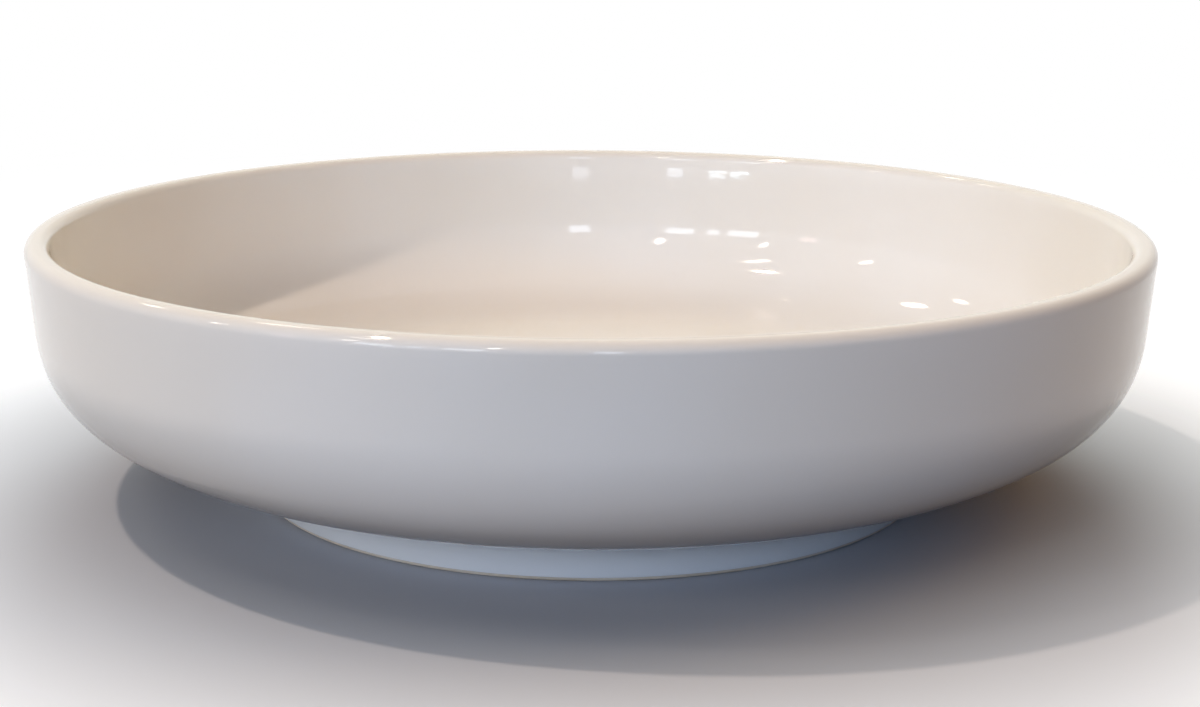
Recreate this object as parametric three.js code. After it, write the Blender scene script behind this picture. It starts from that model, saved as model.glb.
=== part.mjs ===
// A wide, shallow serving bowl: a turned clay shell luted to a foot ring, under a white glaze.
// Millimetres, +Z up. The origin is the centre of the circle that the foot stands on.
import * as THREE from "three";

// Sizes over the glaze
const RIM_DIAMETER = 305;
const HEIGHT = 72.8;
const WALL_THICKNESS = 6.5; // at the lip, and again at the belly
const LIP_FLAT = 1.1; // width of the level crest between the two roundings of the lip
const WALL_LEAN = 4.1; // degrees that the upper wall opens outwards
const INNER_LEAN = 5; // degrees that its inner face opens outwards, so that the wall thickens downwards
const HAUNCH_RADIUS = 31.4; // the tight bend below the wall
const HAUNCH_SLOPE = 33.8; // degrees from level where the haunch runs into the belly
const BELLY_RADIUS = 62.4; // the wide bend below the haunch
const UNDERSIDE_SLOPE = 11; // degrees from level of the straight underside

// Sizes of the clay
const FLOOR_THICKNESS = 7; // from the clay base to the glazed floor, at the centre
const FOOT_DIAMETER = 186.3; // the outer face of the ring, where it would meet the table
const FOOT_HEIGHT = 12.5; // from the table to the flat base, the slip included
const FOOT_WIDTH = 8; // across the ring at the table
const FOOT_TAPER = 4; // degrees that both faces of the ring open out towards the base
const FOOT_EDGE = 0.8; // rounding of the two edges beside the bearing face
const SLIP_THICKNESS = 0.8;

// Sizes of the glaze
const GLAZE_THICKNESS = 0.5;
const GLAZE_POOL = 3; // radius of the glaze that gathers in the corners of the foot
const BARE_BAND = 0.3; // clay wiped bare above the rounded edge of the foot
const GLAZE_GAP = 0.02; // hairline between the clay and the back of the glaze

// Finishes
const CLAY_COLOUR = 0xe6dccb;
const SLIP_COLOUR = 0xd9cdb8;
const GLAZE_COLOUR = 0xefebe4;
const CLAY_ROUGHNESS = 0.85;
const GLAZE_ROUGHNESS = 0.12;

// Facets
const AROUND = 48;
const LIP_STEPS = 4;
const HAUNCH_STEPS = 6;
const BELLY_STEPS = 4;
const POOL_STEPS = 3;
const DISH_STEPS = 2;
const EDGE_STEPS = 2;

const rad = THREE.MathUtils.degToRad;
const point = (r, z) => new THREE.Vector2(r, z);
const facing = (angle) => point(Math.cos(rad(angle)), Math.sin(rad(angle)));
const along = (start, way, distance) => start.clone().addScaledVector(way, distance);

// A place on a surface is a point in the half plane through the axis and the way that faces out there.
const place = (at, out) => ({ at, out });

// Places along an arc that turns from one facing angle to another.
// The radius is positive on a swelling arc and negative on a hollow one.
function bend(centre, radius, from, to, steps) {
  const places = [];
  for (let i = 0; i <= steps; i++) {
    const out = facing(from + ((to - from) * i) / steps);
    places.push(place(along(centre, out, radius), out));
  }
  return places;
}

// The points of a surface, or of the surface that lies a depth below it.
const surface = (places) => places.map((p) => p.at);
const below = (places, depth) => places.map((p) => along(p.at, p.out, -depth));

// The corner of two faces that are both moved out from their common corner by one distance.
function corner(at, outA, outB, distance) {
  const way = outA.clone().add(outB);
  return along(at, way, distance / (1 + outA.dot(outB)));
}

// Where a straight line through a point reaches a height.
function atHeight(start, way, z) {
  return point(start.x + (way.x * (z - start.y)) / way.y, z);
}

// Facing angles in degrees: 0 faces away from the axis, 90 up, 180 towards the axis, and -90 or 270 down
const OUTER_WALL = -WALL_LEAN;
const INNER_WALL = 180 - INNER_LEAN;
const OUTER_HAUNCH = HAUNCH_SLOPE - 90;
const INNER_HAUNCH = HAUNCH_SLOPE + 90;
const UNDERSIDE = UNDERSIDE_SLOPE - 90;
const RING_OUTSIDE = -FOOT_TAPER;
const RING_INSIDE = 180 + FOOT_TAPER;
const STRAIGHT_UP = 90;
const DOWN_FROM_OUTSIDE = -90;
const DOWN_FROM_INSIDE = 270;

// The faces of the foot ring, in clay
const ringOutsideUp = facing(RING_OUTSIDE + 90);
const ringInsideUp = facing(RING_INSIDE - 90);
const ringOutsideFoot = point(FOOT_DIAMETER / 2, 0);
const ringInsideFoot = point(FOOT_DIAMETER / 2 - FOOT_WIDTH, 0);
const slipHeight = FOOT_HEIGHT - SLIP_THICKNESS;
const glazeLine = FOOT_EDGE + BARE_BAND;
const ringOutside = [FOOT_HEIGHT, slipHeight, glazeLine].map((z) =>
  atHeight(ringOutsideFoot, ringOutsideUp, z),
);
const ringInside = [FOOT_HEIGHT, slipHeight, glazeLine].map((z) =>
  atHeight(ringInsideFoot, ringInsideUp, z),
);
const [outerCorner, outerSeam, outerGlazeLine] = ringOutside;
const [innerCorner, innerSeam, innerGlazeLine] = ringInside;

// The outside, over the glaze. The haunch and the belly keep their radii, and the straight underside and the
// straight wall are as long as it takes to join the corner of the foot to the lip.
const lipRounding = (WALL_THICKNESS - LIP_FLAT) / 2;
const lipCentre = point(RIM_DIAMETER / 2 - lipRounding, HEIGHT - lipRounding);
const wallTop = along(lipCentre, facing(OUTER_WALL), lipRounding);
const wallUp = facing(OUTER_WALL + 90);
const undersideOut = facing(UNDERSIDE + 90);
const footCorner = corner(outerCorner, facing(RING_OUTSIDE), facing(UNDERSIDE), GLAZE_THICKNESS);

const bellySpan = facing(OUTER_HAUNCH).sub(facing(UNDERSIDE)).multiplyScalar(BELLY_RADIUS);
const haunchSpan = facing(OUTER_WALL).sub(facing(OUTER_HAUNCH)).multiplyScalar(HAUNCH_RADIUS);
const straight = wallTop.clone().sub(footCorner).sub(bellySpan).sub(haunchSpan);
const undersideLength = straight.cross(wallUp) / undersideOut.cross(wallUp);
const undersideEnd = along(footCorner, undersideOut, undersideLength);
const bellyCentre = along(undersideEnd, facing(UNDERSIDE), -BELLY_RADIUS);
const haunchStart = along(bellyCentre, facing(OUTER_HAUNCH), BELLY_RADIUS);
const haunchCentre = along(haunchStart, facing(OUTER_HAUNCH), -HAUNCH_RADIUS);

const outside = [
  ...bend(lipCentre, lipRounding, STRAIGHT_UP, OUTER_WALL, LIP_STEPS),
  ...bend(haunchCentre, HAUNCH_RADIUS, OUTER_WALL, OUTER_HAUNCH, HAUNCH_STEPS),
  ...bend(bellyCentre, BELLY_RADIUS, OUTER_HAUNCH, UNDERSIDE, BELLY_STEPS).slice(1),
];

// The inside, over the glaze. Its belly follows the outside at the thickness of the wall, and the cove above is as
// tight as it takes to join the belly to the inner face of the wall.
// The floor is a shallow dish that is level at the axis and runs smoothly into the belly.
const floorHeight = FOOT_HEIGHT + FLOOR_THICKNESS;
const innerBellyRadius = BELLY_RADIUS - WALL_THICKNESS;
const belowBelly = floorHeight - bellyCentre.y;
const dishRadius =
  (innerBellyRadius ** 2 - bellyCentre.x ** 2 - belowBelly ** 2) / (2 * (belowBelly + innerBellyRadius));
const dishCentre = point(0, floorHeight + dishRadius);
const DISH_EDGE = 90 + THREE.MathUtils.radToDeg(Math.asin(bellyCentre.x / (dishRadius - innerBellyRadius)));

const innerLipCentre = point(lipCentre.x - LIP_FLAT, lipCentre.y);
const innerWallTop = along(innerLipCentre, facing(INNER_WALL), lipRounding);
const innerWallUp = facing(INNER_WALL - 90);
const coveStart = along(bellyCentre, facing(INNER_HAUNCH), -innerBellyRadius);
const coveTurn = facing(INNER_HAUNCH).sub(facing(INNER_WALL));
const coveRadius = innerWallTop.clone().sub(coveStart).cross(innerWallUp) / coveTurn.cross(innerWallUp);
const coveCentre = along(coveStart, facing(INNER_HAUNCH), coveRadius);

const inside = [
  ...bend(dishCentre, -dishRadius, STRAIGHT_UP, DISH_EDGE, DISH_STEPS),
  ...bend(bellyCentre, -innerBellyRadius, DISH_EDGE, INNER_HAUNCH, BELLY_STEPS).slice(1),
  ...bend(coveCentre, -coveRadius, INNER_HAUNCH, INNER_WALL, HAUNCH_STEPS).slice(1),
  ...bend(innerLipCentre, lipRounding, INNER_WALL, STRAIGHT_UP, LIP_STEPS),
];

// A turned solid from an outline that runs clockwise: out along the top and back along the bottom.
function turned(name, outline, color, roughness) {
  const geometry = new THREE.LatheGeometry(outline.toReversed(), AROUND);
  geometry.rotateX(Math.PI / 2);
  const material = new THREE.MeshStandardMaterial({ color, roughness, metalness: 0 });
  const mesh = new THREE.Mesh(geometry, material);
  mesh.name = name;
  return mesh;
}

function bowlBody() {
  const outline = [
    ...below(inside, GLAZE_THICKNESS),
    ...below(outside, GLAZE_THICKNESS),
    outerCorner,
    innerCorner,
    point(0, FOOT_HEIGHT),
  ];
  return turned("bowl_body", outline, CLAY_COLOUR, CLAY_ROUGHNESS);
}

function slipSeam() {
  const outline = [innerCorner, outerCorner, outerSeam, innerSeam, innerCorner];
  return turned("slip_seam", outline, SLIP_COLOUR, CLAY_ROUGHNESS);
}

function footRing() {
  const down = facing(DOWN_FROM_OUTSIDE);
  const outerEdge = corner(ringOutsideFoot, facing(RING_OUTSIDE), down, -FOOT_EDGE);
  const innerEdge = corner(ringInsideFoot, facing(RING_INSIDE), down, -FOOT_EDGE);
  const outline = [
    innerSeam,
    outerSeam,
    ...surface(bend(outerEdge, FOOT_EDGE, RING_OUTSIDE, DOWN_FROM_OUTSIDE, EDGE_STEPS)),
    ...surface(bend(innerEdge, FOOT_EDGE, DOWN_FROM_INSIDE, RING_INSIDE, EDGE_STEPS)),
    innerSeam,
  ];
  return turned("foot_ring", outline, CLAY_COLOUR, CLAY_ROUGHNESS);
}

// The face and the back of the glaze at one corner of the foot, both from the corner to the end of the glaze.
// The face follows the pool that gathers in the corner, and the back lies along the clay.
function footGlaze(clayCorner, clayEnd, base, ring) {
  const baseOut = facing(base);
  const ringOut = facing(ring);
  const glazed = corner(clayCorner, baseOut, ringOut, GLAZE_THICKNESS);
  const poolCentre = corner(glazed, baseOut, ringOut, GLAZE_POOL);
  const pool = bend(poolCentre, -GLAZE_POOL, base, ring, POOL_STEPS);
  return {
    face: [...surface(pool), along(clayEnd, ringOut, GLAZE_THICKNESS)],
    back: [corner(clayCorner, baseOut, ringOut, GLAZE_GAP), along(clayEnd, ringOut, GLAZE_GAP)],
  };
}

function glazeCoat() {
  const foot = footGlaze(outerCorner, outerGlazeLine, UNDERSIDE, RING_OUTSIDE);
  const backDepth = GLAZE_THICKNESS - GLAZE_GAP;
  const face = [...surface(inside), ...surface(outside), ...foot.face];
  const back = [...below(inside, backDepth), ...below(outside, backDepth), ...foot.back];
  return turned("glaze_coat", [...face, ...back.toReversed()], GLAZE_COLOUR, GLAZE_ROUGHNESS);
}

function baseGlaze() {
  const foot = footGlaze(innerCorner, innerGlazeLine, DOWN_FROM_INSIDE, RING_INSIDE);
  const back = [point(0, FOOT_HEIGHT - GLAZE_GAP), ...foot.back];
  const face = [point(0, FOOT_HEIGHT - GLAZE_THICKNESS), ...foot.face];
  return turned("base_glaze", [...back, ...face.toReversed()], GLAZE_COLOUR, GLAZE_ROUGHNESS);
}

const servingBowl = new THREE.Group();
servingBowl.add(bowlBody(), slipSeam(), footRing(), glazeCoat(), baseGlaze());

export default servingBowl;
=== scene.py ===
import math

import bmesh
import bpy
from mathutils import Matrix, Vector


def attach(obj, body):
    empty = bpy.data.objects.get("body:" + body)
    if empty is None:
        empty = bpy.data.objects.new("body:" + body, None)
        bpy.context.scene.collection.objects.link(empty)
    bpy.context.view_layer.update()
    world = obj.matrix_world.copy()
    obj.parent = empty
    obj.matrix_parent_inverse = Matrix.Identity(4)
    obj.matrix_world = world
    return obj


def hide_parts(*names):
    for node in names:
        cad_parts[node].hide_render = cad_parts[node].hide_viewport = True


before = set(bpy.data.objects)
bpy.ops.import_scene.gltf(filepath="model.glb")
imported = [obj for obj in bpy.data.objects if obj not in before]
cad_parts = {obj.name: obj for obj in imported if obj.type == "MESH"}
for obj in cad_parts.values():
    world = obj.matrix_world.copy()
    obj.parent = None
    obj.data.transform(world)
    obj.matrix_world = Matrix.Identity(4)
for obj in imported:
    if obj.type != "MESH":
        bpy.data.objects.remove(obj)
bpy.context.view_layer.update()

MM = 0.001
QUARTER_TURN = 90
HALF_TURN = 180
Z_AXIS = (0, 0, 1)

# Sizes over the glaze, as on the solids
RIM_DIAMETER = 305 * MM
HEIGHT = 72.8 * MM
WALL_THICKNESS = 6.5 * MM
LIP_FLAT = 1.1 * MM
WALL_LEAN = 4.1
INNER_LEAN = 5
HAUNCH_RADIUS = 31.4 * MM
HAUNCH_SLOPE = 33.8
BELLY_RADIUS = 62.4 * MM
UNDERSIDE_SLOPE = 11

# Sizes of the clay
FLOOR_THICKNESS = 7 * MM
FOOT_DIAMETER = 186.3 * MM
FOOT_HEIGHT = 12.5 * MM
FOOT_WIDTH = 8 * MM
FOOT_TAPER = 4
FOOT_EDGE = 0.8 * MM
SLIP_THICKNESS = 0.8 * MM

# Sizes of the glaze
GLAZE_THICKNESS = 0.5 * MM
GLAZE_POOL = 3 * MM
BARE_BAND = 0.3 * MM
GLAZE_GAP = 0.02 * MM

# Fineness of the turned pieces
AROUND = 240
LIP_STEPS = 10
HAUNCH_STEPS = 18
BELLY_STEPS = 14
DISH_STEPS = 16
POOL_STEPS = 8
EDGE_STEPS = 6
WALL_STEPS = 6
UNDERSIDE_STEPS = 5
RING_STEPS = 3
WELD = 0.01 * MM
CREASE_ANGLE = 35

# Facing angles in degrees, in the half plane through the axis: 0 faces away from the axis and 90 up
OUTER_WALL = -WALL_LEAN
INNER_WALL = HALF_TURN - INNER_LEAN
OUTER_HAUNCH = HAUNCH_SLOPE - QUARTER_TURN
INNER_HAUNCH = HAUNCH_SLOPE + QUARTER_TURN
UNDERSIDE = UNDERSIDE_SLOPE - QUARTER_TURN
RING_OUTSIDE = -FOOT_TAPER
RING_INSIDE = HALF_TURN + FOOT_TAPER
STRAIGHT_UP = QUARTER_TURN
DOWN_FROM_OUTSIDE = -QUARTER_TURN
DOWN_FROM_INSIDE = HALF_TURN + QUARTER_TURN


def facing(degrees):
    """The way that a surface faces, in the half plane y = 0."""
    angle = math.radians(degrees)
    return Vector((math.cos(angle), 0, math.sin(angle)))


def corner(at, out_a, out_b, distance):
    """Where two faces meet after both move out by a distance from their common corner."""
    return at + (out_a + out_b) * (distance / (1 + out_a.dot(out_b)))


def at_height(start, way, z):
    """Where a straight line through a point reaches a height."""
    return start + way * ((z - start.z) / way.z)


def across(a, b):
    """The turn from one way of the half plane to another, as a signed area."""
    return a.x * b.z - a.z * b.x


# The faces of the foot ring, in clay
ring_outside_up = facing(RING_OUTSIDE + QUARTER_TURN)
ring_inside_up = facing(RING_INSIDE - QUARTER_TURN)
ring_outside_foot = Vector((FOOT_DIAMETER / 2, 0, 0))
ring_inside_foot = Vector((FOOT_DIAMETER / 2 - FOOT_WIDTH, 0, 0))
slip_height = FOOT_HEIGHT - SLIP_THICKNESS
glaze_line = FOOT_EDGE + BARE_BAND
outer_corner = at_height(ring_outside_foot, ring_outside_up, FOOT_HEIGHT)
outer_seam = at_height(ring_outside_foot, ring_outside_up, slip_height)
outer_glaze_line = at_height(ring_outside_foot, ring_outside_up, glaze_line)
inner_corner = at_height(ring_inside_foot, ring_inside_up, FOOT_HEIGHT)
inner_seam = at_height(ring_inside_foot, ring_inside_up, slip_height)
inner_glaze_line = at_height(ring_inside_foot, ring_inside_up, glaze_line)

# The outside, from the lip to the corner of the foot
lip_rounding = (WALL_THICKNESS - LIP_FLAT) / 2
lip_centre = Vector((RIM_DIAMETER / 2 - lip_rounding, 0, HEIGHT - lip_rounding))
wall_top = lip_centre + facing(OUTER_WALL) * lip_rounding
wall_up = facing(OUTER_WALL + QUARTER_TURN)
underside_out = facing(UNDERSIDE + QUARTER_TURN)
foot_corner = corner(outer_corner, facing(RING_OUTSIDE), facing(UNDERSIDE), GLAZE_THICKNESS)
belly_span = (facing(OUTER_HAUNCH) - facing(UNDERSIDE)) * BELLY_RADIUS
haunch_span = (facing(OUTER_WALL) - facing(OUTER_HAUNCH)) * HAUNCH_RADIUS
straight = wall_top - foot_corner - belly_span - haunch_span
underside_length = across(straight, wall_up) / across(underside_out, wall_up)
underside_end = foot_corner + underside_out * underside_length
belly_centre = underside_end - facing(UNDERSIDE) * BELLY_RADIUS
haunch_start = belly_centre + facing(OUTER_HAUNCH) * BELLY_RADIUS
haunch_centre = haunch_start - facing(OUTER_HAUNCH) * HAUNCH_RADIUS

# The inside: a shallow dish, a belly that follows the outside, and a cove up to the wall
floor_height = FOOT_HEIGHT + FLOOR_THICKNESS
inner_belly_radius = BELLY_RADIUS - WALL_THICKNESS
below_belly = floor_height - belly_centre.z
dish_radius = (inner_belly_radius ** 2 - belly_centre.x ** 2 - below_belly ** 2) / (
    2 * (below_belly + inner_belly_radius))
dish_centre = Vector((0, 0, floor_height + dish_radius))
dish_edge = STRAIGHT_UP + math.degrees(math.asin(belly_centre.x / (dish_radius - inner_belly_radius)))
inner_lip_centre = lip_centre - Vector((LIP_FLAT, 0, 0))
inner_wall_top = inner_lip_centre + facing(INNER_WALL) * lip_rounding
inner_wall_up = facing(INNER_WALL - QUARTER_TURN)
cove_start = belly_centre - facing(INNER_HAUNCH) * inner_belly_radius
cove_turn = facing(INNER_HAUNCH) - facing(INNER_WALL)
cove_radius = across(inner_wall_top - cove_start, inner_wall_up) / across(cove_turn, inner_wall_up)
cove_centre = cove_start + facing(INNER_HAUNCH) * cove_radius


def pen_at(shape, at):
    """Sets the pen down at the first point of an outline."""
    return shape.verts.new(at)


def draw_to(shape, tip, at, steps=1):
    """Draws a straight line from the tip of the pen, in equal steps."""
    start = tip.co.copy()
    for step in range(1, steps + 1):
        tip = bmesh.ops.extrude_vert_indiv(shape, verts=[tip])["verts"][0]
        tip.co = start.lerp(at, step / steps)
    return tip


def draw_bend(shape, tip, centre, radius, turn, steps):
    """Draws the arc between two facing angles. The radius is negative on a hollow arc."""
    begin, end = turn
    tip = draw_to(shape, tip, centre + facing(begin) * radius)
    step_turn = Matrix.Rotation(math.radians(begin - end) / steps, 3, "Y")
    for _ in range(steps):
        tip = bmesh.ops.extrude_vert_indiv(shape, verts=[tip])["verts"][0]
        bmesh.ops.rotate(shape, verts=[tip], cent=centre, matrix=step_turn)
    return tip


def draw_inside(shape, depth):
    """Draws the inner surface from the axis to the crest of the lip, a depth below the glaze."""
    tip = pen_at(shape, dish_centre - facing(STRAIGHT_UP) * (dish_radius + depth))
    tip = draw_bend(shape, tip, dish_centre, -dish_radius - depth, (STRAIGHT_UP, dish_edge), DISH_STEPS)
    tip = draw_bend(shape, tip, belly_centre, -inner_belly_radius - depth,
                    (dish_edge, INNER_HAUNCH), BELLY_STEPS)
    tip = draw_bend(shape, tip, cove_centre, -cove_radius - depth,
                    (INNER_HAUNCH, INNER_WALL), HAUNCH_STEPS)
    wall_end = inner_lip_centre + facing(INNER_WALL) * (lip_rounding - depth)
    tip = draw_to(shape, tip, wall_end, WALL_STEPS)
    return draw_bend(shape, tip, inner_lip_centre, lip_rounding - depth,
                     (INNER_WALL, STRAIGHT_UP), LIP_STEPS)


def draw_outside(shape, tip, depth):
    """Goes on over the crest of the lip and down the outer surface to the end of the belly."""
    tip = draw_bend(shape, tip, lip_centre, lip_rounding - depth,
                    (STRAIGHT_UP, OUTER_WALL), LIP_STEPS)
    haunch_top = haunch_centre + facing(OUTER_WALL) * (HAUNCH_RADIUS - depth)
    tip = draw_to(shape, tip, haunch_top, WALL_STEPS)
    tip = draw_bend(shape, tip, haunch_centre, HAUNCH_RADIUS - depth,
                    (OUTER_WALL, OUTER_HAUNCH), HAUNCH_STEPS)
    return draw_bend(shape, tip, belly_centre, BELLY_RADIUS - depth,
                     (OUTER_HAUNCH, UNDERSIDE), BELLY_STEPS)


def draw_pool(shape, tip, clay_corner, clay_end, base, ring, base_steps):
    """Draws the face of the glaze that gathers in a corner of the foot, down to its rounded end."""
    glazed = corner(clay_corner, facing(base), facing(ring), GLAZE_THICKNESS)
    pool_centre = corner(glazed, facing(base), facing(ring), GLAZE_POOL)
    tip = draw_to(shape, tip, pool_centre - facing(base) * GLAZE_POOL, base_steps)
    tip = draw_bend(shape, tip, pool_centre, -GLAZE_POOL, (base, ring), POOL_STEPS)
    turn_up = 1 if ring > base else -1
    up_ring = facing(ring + QUARTER_TURN * turn_up)
    edge_radius = (GLAZE_THICKNESS - GLAZE_GAP) / 2
    middle_of_coat = clay_end + facing(ring) * (GLAZE_THICKNESS / 2 + GLAZE_GAP / 2)
    edge_centre = middle_of_coat + up_ring * edge_radius
    tip = draw_to(shape, tip, edge_centre + facing(ring) * edge_radius, RING_STEPS)
    return draw_bend(shape, tip, edge_centre, edge_radius,
                     (ring, ring - HALF_TURN * turn_up), EDGE_STEPS)


def turn_outline(name, shape):
    """Turns an outline round the axis into a closed piece that rides on the bowl."""
    outline = shape.verts[:] + shape.edges[:]
    bmesh.ops.spin(shape, geom=outline, cent=(0, 0, 0), axis=Z_AXIS,
                   angle=math.tau, steps=AROUND, use_merge=True)
    bmesh.ops.remove_doubles(shape, verts=shape.verts[:], dist=WELD)
    bmesh.ops.recalc_face_normals(shape, faces=shape.faces[:])
    mesh = bpy.data.meshes.new(name)
    shape.to_mesh(mesh)
    shape.free()
    mesh.shade_smooth()
    mesh.set_sharp_from_angle(angle=math.radians(CREASE_ANGLE))
    piece = bpy.data.objects.new(name, mesh)
    bpy.context.scene.collection.objects.link(piece)
    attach(piece, "root")
    return piece


def make_clay_body():
    shape = bmesh.new()
    tip = draw_inside(shape, GLAZE_THICKNESS)
    tip = draw_outside(shape, tip, GLAZE_THICKNESS)
    tip = draw_to(shape, tip, outer_corner, UNDERSIDE_STEPS)
    tip = draw_to(shape, tip, inner_corner)
    draw_to(shape, tip, Vector((0, 0, FOOT_HEIGHT)), DISH_STEPS)
    piece = turn_outline("clay_body", shape)
    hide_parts("bowl_body")
    return piece


def make_slip_ring():
    shape = bmesh.new()
    first = pen_at(shape, inner_corner)
    tip = draw_to(shape, first, outer_corner)
    tip = draw_to(shape, tip, outer_seam)
    tip = draw_to(shape, tip, inner_seam)
    shape.edges.new((tip, first))
    piece = turn_outline("slip_ring", shape)
    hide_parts("slip_seam")
    return piece


def make_foot():
    down = facing(DOWN_FROM_OUTSIDE)
    outer_edge = corner(ring_outside_foot, facing(RING_OUTSIDE), down, -FOOT_EDGE)
    inner_edge = corner(ring_inside_foot, facing(RING_INSIDE), down, -FOOT_EDGE)
    shape = bmesh.new()
    first = pen_at(shape, inner_seam)
    tip = draw_to(shape, first, outer_seam)
    tip = draw_bend(shape, tip, outer_edge, FOOT_EDGE, (RING_OUTSIDE, DOWN_FROM_OUTSIDE), EDGE_STEPS)
    tip = draw_bend(shape, tip, inner_edge, FOOT_EDGE, (DOWN_FROM_INSIDE, RING_INSIDE), EDGE_STEPS)
    shape.edges.new((tip, first))
    piece = turn_outline("foot", shape)
    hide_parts("foot_ring")
    return piece


def make_outer_glaze():
    shape = bmesh.new()
    tip = draw_inside(shape, 0)
    tip = draw_outside(shape, tip, 0)
    face_end = draw_pool(shape, tip, outer_corner, outer_glaze_line,
                         UNDERSIDE, RING_OUTSIDE, UNDERSIDE_STEPS)
    back_depth = GLAZE_THICKNESS - GLAZE_GAP
    tip = draw_inside(shape, back_depth)
    tip = draw_outside(shape, tip, back_depth)
    back_corner = corner(outer_corner, facing(UNDERSIDE), facing(RING_OUTSIDE), GLAZE_GAP)
    tip = draw_to(shape, tip, back_corner, UNDERSIDE_STEPS)
    shape.edges.new((tip, face_end))
    piece = turn_outline("white_glaze", shape)
    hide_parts("glaze_coat")
    return piece


def make_base_glaze():
    shape = bmesh.new()
    tip = pen_at(shape, Vector((0, 0, FOOT_HEIGHT - GLAZE_THICKNESS)))
    face_end = draw_pool(shape, tip, inner_corner, inner_glaze_line,
                         DOWN_FROM_INSIDE, RING_INSIDE, DISH_STEPS)
    tip = pen_at(shape, Vector((0, 0, FOOT_HEIGHT - GLAZE_GAP)))
    back_corner = corner(inner_corner, facing(DOWN_FROM_INSIDE), facing(RING_INSIDE), GLAZE_GAP)
    tip = draw_to(shape, tip, back_corner, DISH_STEPS)
    shape.edges.new((tip, face_end))
    piece = turn_outline("base_white_glaze", shape)
    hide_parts("base_glaze")
    return piece


clay_body = make_clay_body()
slip_ring = make_slip_ring()
foot = make_foot()
white_glaze = make_outer_glaze()
base_white_glaze = make_base_glaze()

# Colours of the finishes
GLAZE_WHITE = (0.90, 0.875, 0.845, 1)
GLAZE_CREAM = (0.885, 0.85, 0.805, 1)
# Warm cream on the top of the lip: partly glaze that thins over the edge, partly painted warm light
GLAZE_THIN_AND_PAINTED_LIGHT = (0.87, 0.80, 0.71, 1)
# Pale blue low on the glaze and over the foot: partly glaze that lies deeper there, partly painted cool
# light
GLAZE_DEEP_AND_PAINTED_COOL_LIGHT = (0.88, 0.91, 0.94, 1)
SPECK_BROWN = (0.20, 0.12, 0.07, 1)
CLAY_PALE = (0.79, 0.71, 0.60, 1)
CLAY_WARM = (0.70, 0.60, 0.48, 1)
SLIP_PALE = (0.69, 0.61, 0.48, 1)
SLIP_DARK = (0.60, 0.52, 0.40, 1)

# Tone of the glaze: slow patches; on the lip's top thin glaze with painted warm light, and at the foot
# deep glaze with painted cool light; with shares of the colours there
TONE_GRAIN = 14
TONE_DETAIL = 2
TONE_LIMITS = (0.35, 0.65)
THIN_AND_PAINTED_LIGHT_HEIGHTS = (HEIGHT - 2.6 * MM, HEIGHT - 0.2 * MM)
THIN_AND_PAINTED_LIGHT_SHARES = (0, 0.45)
DEEP_AND_PAINTED_COOL_LIGHT_HEIGHTS = (8 * MM, 15 * MM)
DEEP_AND_PAINTED_COOL_LIGHT_SHARES = (0.8, 0)

# Specks: a few of the cells of a pattern each hold a dot, measured in cells
SPECK_CELLS = 55
SPECK_CHOICE = (0.90, 0.92)
SPECK_EDGE = (0.012, 0.024)
SPECK_SHARES = (0.75, 0)

# Shine of the glaze
GLAZE_IOR = 1.52
SHINE_GRAIN = 30
SHINE_DETAIL = 3
SHINE_LIMITS = (0.3, 0.7)
SHINE_ROUGHNESS = (0.03, 0.055)

# Relief of the glaze: waves to the metre, and heights in millimetres
SMOOTH_DETAIL = 1
WAVE_GRAIN = 38
WAVE_HEIGHT = 0.04
PEEL_GRAIN = 330
PEEL_HEIGHT = 0.004
TURNING_GRAIN = 160
TURNING_HEIGHT = 0.010

# Bare clay and slip
MOTTLE_GRAIN = 60
MOTTLE_DETAIL = 4
MOTTLE_LIMITS = (0.3, 0.7)
SAND_GRAIN = 1400
SAND_DETAIL = 3
SAND_SHARPNESS = 0.7
SAND_LIMITS = (0.2, 0.8)
SAND_ROUGHNESS = (0.78, 0.95)
SAND_HEIGHT = 0.08

LEVEL = (1, 1, 0)


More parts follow.
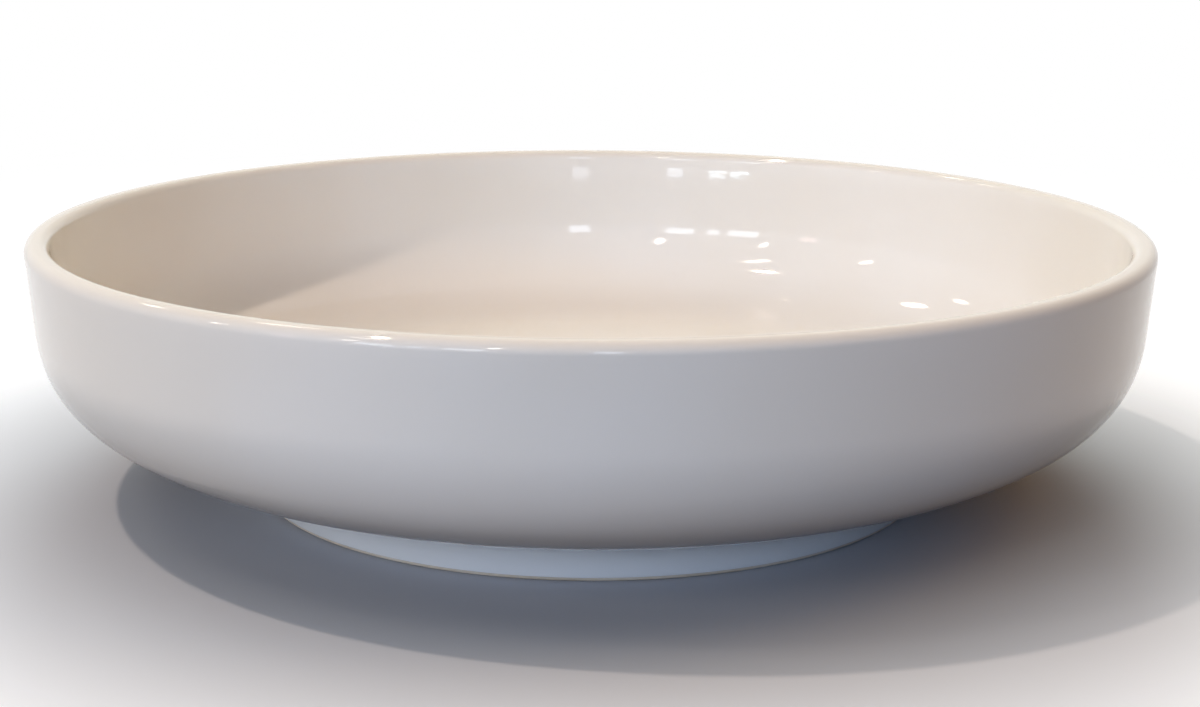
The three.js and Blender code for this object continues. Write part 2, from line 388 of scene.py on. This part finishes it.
class Finish:
    """A material whose nodes are added one at a time."""

    def __init__(self, name):
        self.material = bpy.data.materials.new(name)
        self.material.use_nodes = True
        self.nodes = self.material.node_tree.nodes
        self.links = self.material.node_tree.links
        self.shader = self.nodes["Principled BSDF"]
        self.place = self.nodes.new("ShaderNodeTexCoord").outputs["Object"]

    def put(self, socket, value):
        """Joins an output to a socket, or sets the socket to a plain value."""
        if isinstance(value, bpy.types.NodeSocket):
            self.links.new(value, socket)
        else:
            socket.default_value = value

    def combine(self, operation, first, second):
        """One step of arithmetic on two values."""
        node = self.nodes.new("ShaderNodeMath")
        node.operation = operation
        self.put(node.inputs[0], first)
        self.put(node.inputs[1], second)
        return node.outputs[0]

    def grain(self, scale, detail, sharpness=0.5):
        """Noise from 0 to 1 with a number of waves to the metre."""
        node = self.nodes.new("ShaderNodeTexNoise")
        node.inputs["Scale"].default_value = scale
        node.inputs["Detail"].default_value = detail
        node.inputs["Roughness"].default_value = sharpness
        self.put(node.inputs["Vector"], self.place)
        return node.outputs["Fac"]

    def rings(self, along, scale, detail):
        """Noise that changes only along the outline of a turned piece."""
        node = self.nodes.new("ShaderNodeTexNoise")
        node.noise_dimensions = "1D"
        node.inputs["Scale"].default_value = scale
        node.inputs["Detail"].default_value = detail
        self.put(node.inputs["W"], along)
        return node.outputs["Fac"]

    def ramp(self, value, limits, results=(0, 1)):
        """A smooth step between two results, as a value goes from one limit to the other."""
        node = self.nodes.new("ShaderNodeMapRange")
        node.interpolation_type = "SMOOTHSTEP"
        self.put(node.inputs["Value"], value)
        node.inputs["From Min"].default_value = limits[0]
        node.inputs["From Max"].default_value = limits[1]
        node.inputs["To Min"].default_value = results[0]
        node.inputs["To Max"].default_value = results[1]
        return node.outputs["Result"]

    def blend(self, factor, first, second):
        """A mix of two colours."""
        node = self.nodes.new("ShaderNodeMix")
        node.data_type = "RGBA"
        self.put(node.inputs["Factor"], factor)
        colours = [socket for socket in node.inputs if socket.type == "RGBA"]
        self.put(colours[0], first)
        self.put(colours[1], second)
        return [socket for socket in node.outputs if socket.type == "RGBA"][0]

    def measures(self):
        """The height of a point, and its height and distance from the axis added up."""
        split = self.nodes.new("ShaderNodeSeparateXYZ")
        self.put(split.inputs[0], self.place)
        level = self.nodes.new("ShaderNodeVectorMath")
        level.operation = "MULTIPLY"
        self.put(level.inputs[0], self.place)
        level.inputs[1].default_value = LEVEL
        length = self.nodes.new("ShaderNodeVectorMath")
        length.operation = "LENGTH"
        self.put(length.inputs[0], level.outputs[0])
        height = split.outputs["Z"]
        return height, self.combine("ADD", height, length.outputs["Value"])

    def specks(self):
        """A share of the specks' colour: a dot in each chosen cell."""
        cells = self.nodes.new("ShaderNodeTexVoronoi")
        cells.inputs["Scale"].default_value = SPECK_CELLS
        self.put(cells.inputs["Vector"], self.place)
        pick = self.nodes.new("ShaderNodeSeparateColor")
        self.put(pick.inputs[0], cells.outputs["Color"])
        chosen = self.ramp(pick.outputs[0], SPECK_CHOICE)
        dot = self.ramp(cells.outputs["Distance"], SPECK_EDGE, SPECK_SHARES)
        return self.combine("MULTIPLY", chosen, dot)

    def raise_by(self, height_in_mm):
        """Bends the surface's shine by a height in millimetres."""
        node = self.nodes.new("ShaderNodeBump")
        node.inputs["Strength"].default_value = 1
        node.inputs["Distance"].default_value = MM
        self.put(node.inputs["Height"], height_in_mm)
        self.put(self.shader.inputs["Normal"], node.outputs["Normal"])


def white_glaze_finish():
    finish = Finish("white_glaze")
    height, along = finish.measures()
    tone = finish.ramp(finish.grain(TONE_GRAIN, TONE_DETAIL), TONE_LIMITS)
    colour = finish.blend(tone, GLAZE_WHITE, GLAZE_CREAM)
    # Painted warm light on the top of the lip, mixed with the glaze thinning there
    thin_and_painted_light = finish.ramp(height, THIN_AND_PAINTED_LIGHT_HEIGHTS, THIN_AND_PAINTED_LIGHT_SHARES)
    colour = finish.blend(thin_and_painted_light, colour, GLAZE_THIN_AND_PAINTED_LIGHT)
    # Painted cool light on the foot, mixed with the glaze lying deeper there
    deep_and_painted_cool_light = finish.ramp(height, DEEP_AND_PAINTED_COOL_LIGHT_HEIGHTS, DEEP_AND_PAINTED_COOL_LIGHT_SHARES)
    colour = finish.blend(deep_and_painted_cool_light, colour, GLAZE_DEEP_AND_PAINTED_COOL_LIGHT)
    colour = finish.blend(finish.specks(), colour, SPECK_BROWN)
    finish.put(finish.shader.inputs["Base Color"], colour)
    shine = finish.ramp(finish.grain(SHINE_GRAIN, SHINE_DETAIL), SHINE_LIMITS, SHINE_ROUGHNESS)
    finish.put(finish.shader.inputs["Roughness"], shine)
    finish.shader.inputs["IOR"].default_value = GLAZE_IOR
    wave = finish.combine("MULTIPLY", finish.grain(WAVE_GRAIN, SMOOTH_DETAIL), WAVE_HEIGHT)
    peel = finish.combine("MULTIPLY", finish.grain(PEEL_GRAIN, SMOOTH_DETAIL), PEEL_HEIGHT)
    turning = finish.combine("MULTIPLY", finish.rings(along, TURNING_GRAIN, SMOOTH_DETAIL), TURNING_HEIGHT)
    relief = finish.combine("ADD", finish.combine("ADD", wave, peel), turning)
    finish.raise_by(relief)
    return finish.material


def bare_clay_finish(name, pale, warm):
    finish = Finish(name)
    mottle = finish.ramp(finish.grain(MOTTLE_GRAIN, MOTTLE_DETAIL), MOTTLE_LIMITS)
    finish.put(finish.shader.inputs["Base Color"], finish.blend(mottle, pale, warm))
    sand = finish.grain(SAND_GRAIN, SAND_DETAIL, SAND_SHARPNESS)
    finish.put(finish.shader.inputs["Roughness"], finish.ramp(sand, SAND_LIMITS, SAND_ROUGHNESS))
    finish.raise_by(finish.combine("MULTIPLY", sand, SAND_HEIGHT))
    return finish.material


glaze_finish = white_glaze_finish()
clay_finish = bare_clay_finish("bare_clay", CLAY_PALE, CLAY_WARM)
slip_finish = bare_clay_finish("luting_slip", SLIP_PALE, SLIP_DARK)
white_glaze.data.materials.append(glaze_finish)
base_white_glaze.data.materials.append(glaze_finish)
clay_body.data.materials.append(clay_finish)
foot.data.materials.append(clay_finish)
slip_ring.data.materials.append(slip_finish)

# Camera: its turns are in degrees, its lens and sensor in millimetres and its near limit in metres
CAMERA_PLACE = (0, -541.79 * MM, 162.81 * MM)
CAMERA_TURNS = (76.680, -0.3037, -0.1918)
LENS = 58.959
SENSOR_WIDTH = 36
CLIP_START = 0.02

camera_data = bpy.data.cameras.new("camera")
camera_data.lens = LENS
camera_data.sensor_width = SENSOR_WIDTH
camera_data.clip_start = CLIP_START
camera = bpy.data.objects.new("camera", camera_data)
camera.location = CAMERA_PLACE
camera.rotation_euler = [math.radians(turn) for turn in CAMERA_TURNS]
bpy.context.scene.collection.objects.link(camera)
bpy.context.scene.camera = camera
bpy.context.scene.view_settings.view_transform = "Standard"

# Floor, in metres from the axis: where it starts to glow, so that painted shade darkens it round the bowl,
# and where it runs out to white
FLOOR_HALF = 6
FLOOR_PALE = (0.46, 0.48, 0.53, 1)
FLOOR_DARK = (0.16, 0.14, 0.13, 1)
FLOOR_GLOW = 0.70
FLOOR_WHITE = 1
PAINTED_SHADE_FADE = (0.115, 0.25)
WHITE_REACH = (0.25, 0.70)

floor_shape = bmesh.new()
bmesh.ops.create_grid(floor_shape, x_segments=1, y_segments=1, size=FLOOR_HALF)
floor_mesh = bpy.data.meshes.new("floor")
floor_shape.to_mesh(floor_mesh)
floor_shape.free()
floor = bpy.data.objects.new("floor", floor_mesh)
bpy.context.scene.collection.objects.link(floor)


def seen_directly(nodes, links):
    """A factor of 1 for rays from the camera and their reflections, and 0 for bounced light."""
    path = nodes.new("ShaderNodeLightPath")
    mirrored = nodes.new("ShaderNodeMath")
    mirrored.operation = "MAXIMUM"
    links.new(path.outputs["Is Glossy Ray"], mirrored.inputs[0])
    links.new(path.outputs["Is Transmission Ray"], mirrored.inputs[1])
    seen = nodes.new("ShaderNodeMath")
    seen.operation = "MAXIMUM"
    links.new(path.outputs["Is Camera Ray"], seen.inputs[0])
    links.new(mirrored.outputs[0], seen.inputs[1])
    return seen.outputs[0]


def choose(nodes, links, factor, first, second):
    """A shader that is the first one at a factor of 0 and the second one at 1."""
    choice = nodes.new("ShaderNodeMixShader")
    links.new(factor, choice.inputs[0])
    links.new(first.outputs[0], choice.inputs[1])
    links.new(second.outputs[0], choice.inputs[2])
    return choice


def pale_floor():
    """A floor that shows the bowl's shadow near it, with painted shade round the bowl where it has no
    glow, runs out to white and bounces little light.
    """
    material = bpy.data.materials.new("pale_floor")
    material.use_nodes = True
    nodes = material.node_tree.nodes
    links = material.node_tree.links
    nodes.clear()
    place = nodes.new("ShaderNodeTexCoord")
    reach = nodes.new("ShaderNodeVectorMath")
    reach.operation = "LENGTH"
    links.new(place.outputs["Object"], reach.inputs[0])

    def rise(limits, top):
        """A smooth step from 0, with the distance from the axis."""
        step = nodes.new("ShaderNodeMapRange")
        step.interpolation_type = "SMOOTHSTEP"
        step.inputs["From Min"].default_value = limits[0]
        step.inputs["From Max"].default_value = limits[1]
        step.inputs["To Max"].default_value = top
        links.new(reach.outputs["Value"], step.inputs["Value"])
        return step.outputs["Result"]

    pale = nodes.new("ShaderNodeBsdfDiffuse")
    pale.inputs["Color"].default_value = FLOOR_PALE
    glow = nodes.new("ShaderNodeEmission")
    # Painted shade: no glow near the bowl, so the floor stays darker there even outside the shadow
    links.new(rise(PAINTED_SHADE_FADE, FLOOR_GLOW), glow.inputs["Strength"])
    near = nodes.new("ShaderNodeAddShader")
    links.new(pale.outputs[0], near.inputs[0])
    links.new(glow.outputs[0], near.inputs[1])
    white = nodes.new("ShaderNodeEmission")
    white.inputs["Strength"].default_value = FLOOR_WHITE
    lit = choose(nodes, links, rise(WHITE_REACH, 1), near, white)
    dark = nodes.new("ShaderNodeBsdfDiffuse")
    dark.inputs["Color"].default_value = FLOOR_DARK
    surface = choose(nodes, links, seen_directly(nodes, links), dark, lit)
    output = nodes.new("ShaderNodeOutputMaterial")
    links.new(surface.outputs[0], output.inputs["Surface"])
    return material


floor.data.materials.append(pale_floor())

# Room: white where it is seen, and no light of its own
ROOM_GLOW = 0.0
ROOM_WHITE = 1.0
PURE_WHITE = (1, 1, 1, 1)


def make_room():
    world = bpy.data.worlds.new("room")
    world.use_nodes = True
    nodes = world.node_tree.nodes
    links = world.node_tree.links
    nodes.clear()
    glow = nodes.new("ShaderNodeBackground")
    glow.inputs["Strength"].default_value = ROOM_GLOW
    white = nodes.new("ShaderNodeBackground")
    white.inputs["Color"].default_value = PURE_WHITE
    white.inputs["Strength"].default_value = ROOM_WHITE
    surface = choose(nodes, links, seen_directly(nodes, links), glow, white)
    output = nodes.new("ShaderNodeOutputWorld")
    links.new(surface.outputs[0], output.inputs["Surface"])
    bpy.context.scene.world = world


make_room()

# Lamps: where they aim, how far away they hang in metres, and the colours that several share
AIM = Vector((0, 0, 40 * MM))
SOFT_DISTANCE = 2.0
LAMP_DISTANCE = 3.0
KEY_DISTANCE = 4.0
LAMP_WARM = (1.00, 0.88, 0.75)
LAMP_PALE = (1.00, 0.92, 0.82)
DAY_COOL = (0.80, 0.90, 1.00)
DAY_BLUE = (0.76, 0.87, 1.00)


def hang_lamp(name, bearing, rise, width, tall, colour, watts, distance, shape, mirrored):
    """A lamp that faces the bowl. Its bearing is 0 behind the bowl, 90 at its right and 180 in front."""
    turn = math.radians(bearing)
    lift = math.radians(rise)
    away = Vector((math.sin(turn) * math.cos(lift), math.cos(turn) * math.cos(lift), math.sin(lift)))
    data = bpy.data.lights.new(name, "AREA")
    data.shape = shape
    data.size = width
    data.size_y = tall
    data.color = colour
    data.energy = watts
    lamp = bpy.data.objects.new(name, data)
    lamp.location = AIM + away * distance
    lamp.rotation_euler = away.to_track_quat("Z", "Y").to_euler()
    lamp.visible_glossy = mirrored
    bpy.context.scene.collection.objects.link(lamp)


# Each lamp: name, bearing and rise in degrees, width and height in metres, colour, watts

# Soft panels that light the bowl and aren't mirrored in it
SOFT_LAMPS = (
    ("soft_left", -90, 30, 1.2, 1.2, (1.00, 0.78, 0.42), 1.4),
    ("front_left_mid", -140, 20, 1.2, 0.5, (0.97, 0.97, 1.00), 8.5),
    ("front_mid", 180, 18, 1.2, 0.5, (0.40, 0.60, 1.00), 6.8),
    ("soft_right", 90, 40, 1.2, 1.0, (1.00, 0.50, 0.05), 6.9),
    ("soft_back", 0, 40, 1.2, 1.2, (0.90, 1.00, 0.95), 22.0),
)

# The warm lamp that casts the shadow inside the bowl
KEY_LAMP = ("key", -97.0, 65.5, 0.16, 0.16, (1.00, 0.82, 0.67), 50.6)

# Small lamps that the glaze mirrors
CEILING_LAMPS = (
    ("ceiling_oval", -121.8, 53.5, 0.18, 0.50, LAMP_WARM, 2.8),
    ("ceiling_front", -160.9, 33.3, 0.12, 0.55, LAMP_PALE, 3.3),
    ("ceiling_front_left", -132.5, 27.4, 0.10, 0.45, LAMP_PALE, 2.2),
    ("ceiling_left", -99.9, 31.0, 0.12, 0.35, LAMP_WARM, 2.1),
    ("ceiling_back_left", -50.1, 39.3, 0.24, 0.17, LAMP_WARM, 1.5),
    ("ceiling_back", -32.6, 48.8, 0.38, 0.17, LAMP_WARM, 2.4),
)

# Panels behind the camera, mirrored in the back of the bowl
WINDOW_LAMPS = (
    ("window_middle", 176.8, 14.9, 0.27, 0.62, DAY_BLUE, 3.6),
    ("window_left", -157.1, 14.4, 0.38, 0.55, DAY_COOL, 3.9),
    ("window_narrow", -148.2, 13.6, 0.17, 0.45, DAY_COOL, 1.4),
    ("window_far_left", -140.5, 13.0, 0.40, 0.50, DAY_COOL, 3.9),
    ("pane_middle", 177.0, 2.80, 0.20, 0.060, DAY_BLUE, 0.16),
    ("pane_left", -159.1, 2.70, 0.20, 0.075, DAY_BLUE, 0.30),
    ("pane_narrow", -148.1, 2.40, 0.22, 0.035, (0.76, 0.92, 1.00), 0.25),
    ("pane_far_left", -142.5, 2.15, 0.26, 0.055, (0.72, 0.92, 1.00), 0.52),
    ("window_rose", -122.6, 12.0, 0.25, 0.40, (1.00, 0.72, 0.70), 1.2),
)

for lamp_values in SOFT_LAMPS:
    hang_lamp(*lamp_values, distance=SOFT_DISTANCE, shape="RECTANGLE", mirrored=False)
hang_lamp(*KEY_LAMP, distance=KEY_DISTANCE, shape="ELLIPSE", mirrored=True)
for lamp_values in CEILING_LAMPS:
    hang_lamp(*lamp_values, distance=LAMP_DISTANCE, shape="ELLIPSE", mirrored=True)
for lamp_values in WINDOW_LAMPS:
    hang_lamp(*lamp_values, distance=LAMP_DISTANCE, shape="RECTANGLE", mirrored=True)
